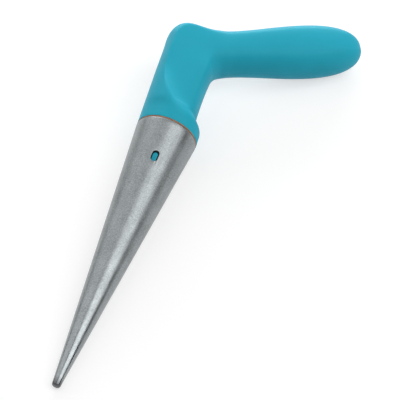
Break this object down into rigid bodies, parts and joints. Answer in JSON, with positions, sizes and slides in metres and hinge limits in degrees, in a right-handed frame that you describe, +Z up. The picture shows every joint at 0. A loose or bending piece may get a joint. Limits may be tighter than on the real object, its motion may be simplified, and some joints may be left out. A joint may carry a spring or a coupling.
{
  "type": "dibber",
  "caption": "Hand dibber with a hollow tapered metal cone, blunt tip and moulded pistol-grip handle held by spring tongues, lying on its side.",
  "frame": {"origin": "point on the bench under the cone's mouth, where the tool's line of contact meets the plane of the collar's seat", "axes": "+Z up from the bench, +Y along the line of contact from the tip to the handle, +X to the grip's side"},
  "size_m": [0.1212, 0.3101, 0.0457],
  "materials": {
    "cone_metal": "satin zinc-plated sheet steel, tumbled",
    "fibre": "matt red-brown vulcanised fibre",
    "plug_plastic": "satin turquoise plastic",
    "handle_plastic": "satin turquoise plastic"
  },
  "bodies": {
    "body": {"cone": "cone_metal", "seat_washer": "fibre", "plug": "plug_plastic", "left_shell": "handle_plastic", "right_shell": "handle_plastic"},
    "left_tongue": {"left_tongue": "plug_plastic"},
    "right_tongue": {"right_tongue": "plug_plastic"}
  },
  "joints": [
    {"name": "left_tongue_press", "type": "hinge", "parent": "body", "child": "left_tongue", "pos_m": [0.00305, -0.0143, 0.0342], "axis": [0.9807, 0.0185, -0.1945], "range_deg": [0, 6], "stiffness_Nm_per_rad": 3},
    {"name": "right_tongue_press", "type": "hinge", "parent": "body", "child": "right_tongue", "pos_m": [-0.00305, -0.0114, 0.00369], "axis": [-0.9807, -0.0185, 0.1945], "range_deg": [0, 6], "stiffness_Nm_per_rad": 3}
  ]
}
